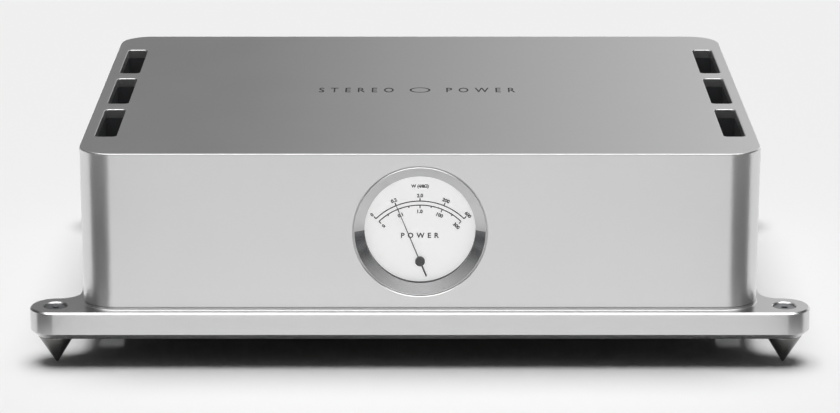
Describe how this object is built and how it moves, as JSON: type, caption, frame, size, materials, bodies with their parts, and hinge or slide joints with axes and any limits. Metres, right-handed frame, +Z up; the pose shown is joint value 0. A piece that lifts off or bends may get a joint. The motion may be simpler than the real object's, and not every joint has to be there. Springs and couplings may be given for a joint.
{
  "type": "power amplifier",
  "caption": "Low rounded aluminium power amplifier with a round wattmeter, top vents and a wide spiked base plate.",
  "frame": {"origin": "on the floor under the middle of the bounding box, at the height of the spike tips", "axes": "+X to the right seen from the front, -Y towards the front, +Z up"},
  "size_m": [0.508, 0.352, 0.143],
  "materials": {
    "shell_aluminium": "bead-blasted, clear anodised",
    "plate_aluminium": "bead-blasted, clear anodised, machined edges",
    "panel_black": "black powder coat",
    "sink_black": "black anodised extrusion",
    "spike_steel": "turned and satin nickelled",
    "screw_dark": "dark blackened steel",
    "bezel_satin": "satin anodised",
    "bezel_polished": "diamond turned",
    "meter_glass": "clear",
    "dial_white": "matt white print ground",
    "needle_black": "matt black",
    "black_plastic": "moulded",
    "copper_coil": "enamelled copper wire on a former",
    "magnet_iron": "ground",
    "zinc_steel": "zinc plated",
    "board_green": "solder resist on glass fibre",
    "enamelled_winding": "varnished winding tape",
    "pad_rubber": "moulded",
    "capacitor_sleeve": "shrunk sleeve",
    "nickel_brass": "nickel plated",
    "socket_black": "moulded",
    "latch_steel": "nickel plated",
    "gold_brass": "gold plated",
    "rocker_black": "moulded",
    "screw_black": "black oxide"
  },
  "bodies": {
    "chassis": {"body_shell": "shell_aluminium", "base_plate": "plate_aluminium", "rear_panel": "panel_black", "heatsink_left": "sink_black", "heatsink_right": "sink_black", "meter_bezel": "bezel_satin", "bezel_insert": "bezel_polished", "meter_glass": "meter_glass", "meter_spacer": "black_plastic", "dial_plate": "dial_white", "meter_magnet": "magnet_iron", "meter_can": "zinc_steel", "meter_clamp_ring": "zinc_steel", "meter_board": "board_green", "transformer_core": "magnet_iron", "transformer_winding": "enamelled_winding", "transformer_pads": "pad_rubber", "transformer_washer": "zinc_steel", "transformer_bolt": "zinc_steel", "supply_boards": "board_green", "filter_capacitors": "capacitor_sleeve", "capacitor_clamps": "zinc_steel", "bridge_rectifiers": "black_plastic", "soft_start_board": "board_green", "amplifier_boards": "board_green", "output_transistors": "black_plastic", "input_boards": "board_green", "board_standoffs": "nickel_brass", "xlr_sockets": "socket_black", "rca_sockets": "gold_brass", "trigger_socket": "socket_black", "speaker_posts": "gold_brass", "mains_inlet": "socket_black", "rocker_frame": "socket_black", "rear_screws": "screw_black", "base_screws": "screw_black", "board_screws": "zinc_steel"},
    "needle_movement": {"needle": "needle_black", "moving_coil": "copper_coil"},
    "rocker": {"power_rocker": "rocker_black"},
    "fuse_carrier": {"fuse_drawer": "socket_black", "mains_fuse": "meter_glass"},
    "latch_left": {"xlr_latch_left": "latch_steel"},
    "latch_right": {"xlr_latch_right": "latch_steel"},
    "foot_front_left": {"spike_front_left": "spike_steel"},
    "screw_front_left": {"level_screw_front_left": "screw_dark"},
    "foot_front_right": {"spike_front_right": "spike_steel"},
    "screw_front_right": {"level_screw_front_right": "screw_dark"},
    "foot_rear_left": {"spike_rear_left": "spike_steel"},
    "screw_rear_left": {"level_screw_rear_left": "screw_dark"},
    "foot_rear_right": {"spike_rear_right": "spike_steel"},
    "screw_rear_right": {"level_screw_rear_right": "screw_dark"},
    "washer_1": {"post_washer_1": "gold_brass"},
    "nut_1": {"post_nut_1": "gold_brass"},
    "washer_2": {"post_washer_2": "gold_brass"},
    "nut_2": {"post_nut_2": "gold_brass"},
    "washer_3": {"post_washer_3": "gold_brass"},
    "nut_3": {"post_nut_3": "gold_brass"},
    "washer_4": {"post_washer_4": "gold_brass"},
    "nut_4": {"post_nut_4": "gold_brass"}
  },
  "joints": [
    {"name": "needle_swing", "type": "hinge", "parent": "chassis", "child": "needle_movement", "pos_m": [0, -0.1606, 0.069], "axis": [0, 1, 0], "range_deg": [-23.5, 68.5], "stiffness_Nm_per_rad": 0.001},
    {"name": "rocker_tilt", "type": "hinge", "parent": "chassis", "child": "rocker", "pos_m": [0, 0.1395, 0.107], "axis": [1, 0, 0], "range_deg": [0, 16]},
    {"name": "fuse_slide", "type": "slide", "parent": "chassis", "child": "fuse_carrier", "axis": [0, 1, 0], "range_m": [0, 0.012]},
    {"name": "latch_left_press", "type": "slide", "parent": "chassis", "child": "latch_left", "axis": [0, -1, 0], "range_m": [0, 0.0015], "stiffness_N_per_m": 300, "springref_m": -0.002},
    {"name": "latch_right_press", "type": "slide", "parent": "chassis", "child": "latch_right", "axis": [0, -1, 0], "range_m": [0, 0.0015], "stiffness_N_per_m": 300, "springref_m": -0.002},
    {"name": "foot_front_left_height", "type": "slide", "parent": "chassis", "child": "foot_front_left", "axis": [0, 0, -1], "range_m": [0, 0.006]},
    {"name": "screw_front_left_turn", "type": "hinge", "parent": "foot_front_left", "child": "screw_front_left", "pos_m": [-0.2375, -0.1595, 0.03], "axis": [0, 0, -1], "range_deg": [0, 1729]},
    {"name": "foot_front_right_height", "type": "slide", "parent": "chassis", "child": "foot_front_right", "axis": [0, 0, -1], "range_m": [0, 0.006]},
    {"name": "screw_front_right_turn", "type": "hinge", "parent": "foot_front_right", "child": "screw_front_right", "pos_m": [0.2375, -0.1595, 0.03], "axis": [0, 0, -1], "range_deg": [0, 1729]},
    {"name": "foot_rear_left_height", "type": "slide", "parent": "chassis", "child": "foot_rear_left", "axis": [0, 0, -1], "range_m": [0, 0.006]},
    {"name": "screw_rear_left_turn", "type": "hinge", "parent": "foot_rear_left", "child": "screw_rear_left", "pos_m": [-0.2375, 0.1595, 0.03], "axis": [0, 0, -1], "range_deg": [0, 1729]},
    {"name": "foot_rear_right_height", "type": "slide", "parent": "chassis", "child": "foot_rear_right", "axis": [0, 0, -1], "range_m": [0, 0.006]},
    {"name": "screw_rear_right_turn", "type": "hinge", "parent": "foot_rear_right", "child": "screw_rear_right", "pos_m": [0.2375, 0.1595, 0.03], "axis": [0, 0, -1], "range_deg": [0, 1729]},
    {"name": "washer_1_slide", "type": "slide", "parent": "chassis", "child": "washer_1", "axis": [0, 1, 0], "range_m": [0, 0.005]},
    {"name": "nut_1_turn", "type": "hinge", "parent": "washer_1", "child": "nut_1", "pos_m": [-0.15, 0.16, 0.089], "axis": [0, 1, 0], "range_deg": [0, 1441]},
    {"name": "washer_2_slide", "type": "slide", "parent": "chassis", "child": "washer_2", "axis": [0, 1, 0], "range_m": [0, 0.005]},
    {"name": "nut_2_turn", "type": "hinge", "parent": "washer_2", "child": "nut_2", "pos_m": [-0.118, 0.16, 0.089], "axis": [0, 1, 0], "range_deg": [0, 1441]},
    {"name": "washer_3_slide", "type": "slide", "parent": "chassis", "child": "washer_3", "axis": [0, 1, 0], "range_m": [0, 0.005]},
    {"name": "nut_3_turn", "type": "hinge", "parent": "washer_3", "child": "nut_3", "pos_m": [0.118, 0.16, 0.089], "axis": [0, 1, 0], "range_deg": [0, 1441]},
    {"name": "washer_4_slide", "type": "slide", "parent": "chassis", "child": "washer_4", "axis": [0, 1, 0], "range_m": [0, 0.005]},
    {"name": "nut_4_turn", "type": "hinge", "parent": "washer_4", "child": "nut_4", "pos_m": [0.15, 0.16, 0.089], "axis": [0, 1, 0], "range_deg": [0, 1441]}
  ],
  "couplings": [
    {"joint": "screw_front_left_turn", "follows": "foot_front_left_height", "rad_per_m": 5026.5},
    {"joint": "screw_front_right_turn", "follows": "foot_front_right_height", "rad_per_m": 5026.5},
    {"joint": "screw_rear_left_turn", "follows": "foot_rear_left_height", "rad_per_m": 5026.5},
    {"joint": "screw_rear_right_turn", "follows": "foot_rear_right_height", "rad_per_m": 5026.5},
    {"joint": "nut_1_turn", "follows": "washer_1_slide", "rad_per_m": 5026.5},
    {"joint": "nut_2_turn", "follows": "washer_2_slide", "rad_per_m": 5026.5},
    {"joint": "nut_3_turn", "follows": "washer_3_slide", "rad_per_m": 5026.5},
    {"joint": "nut_4_turn", "follows": "washer_4_slide", "rad_per_m": 5026.5}
  ]
}
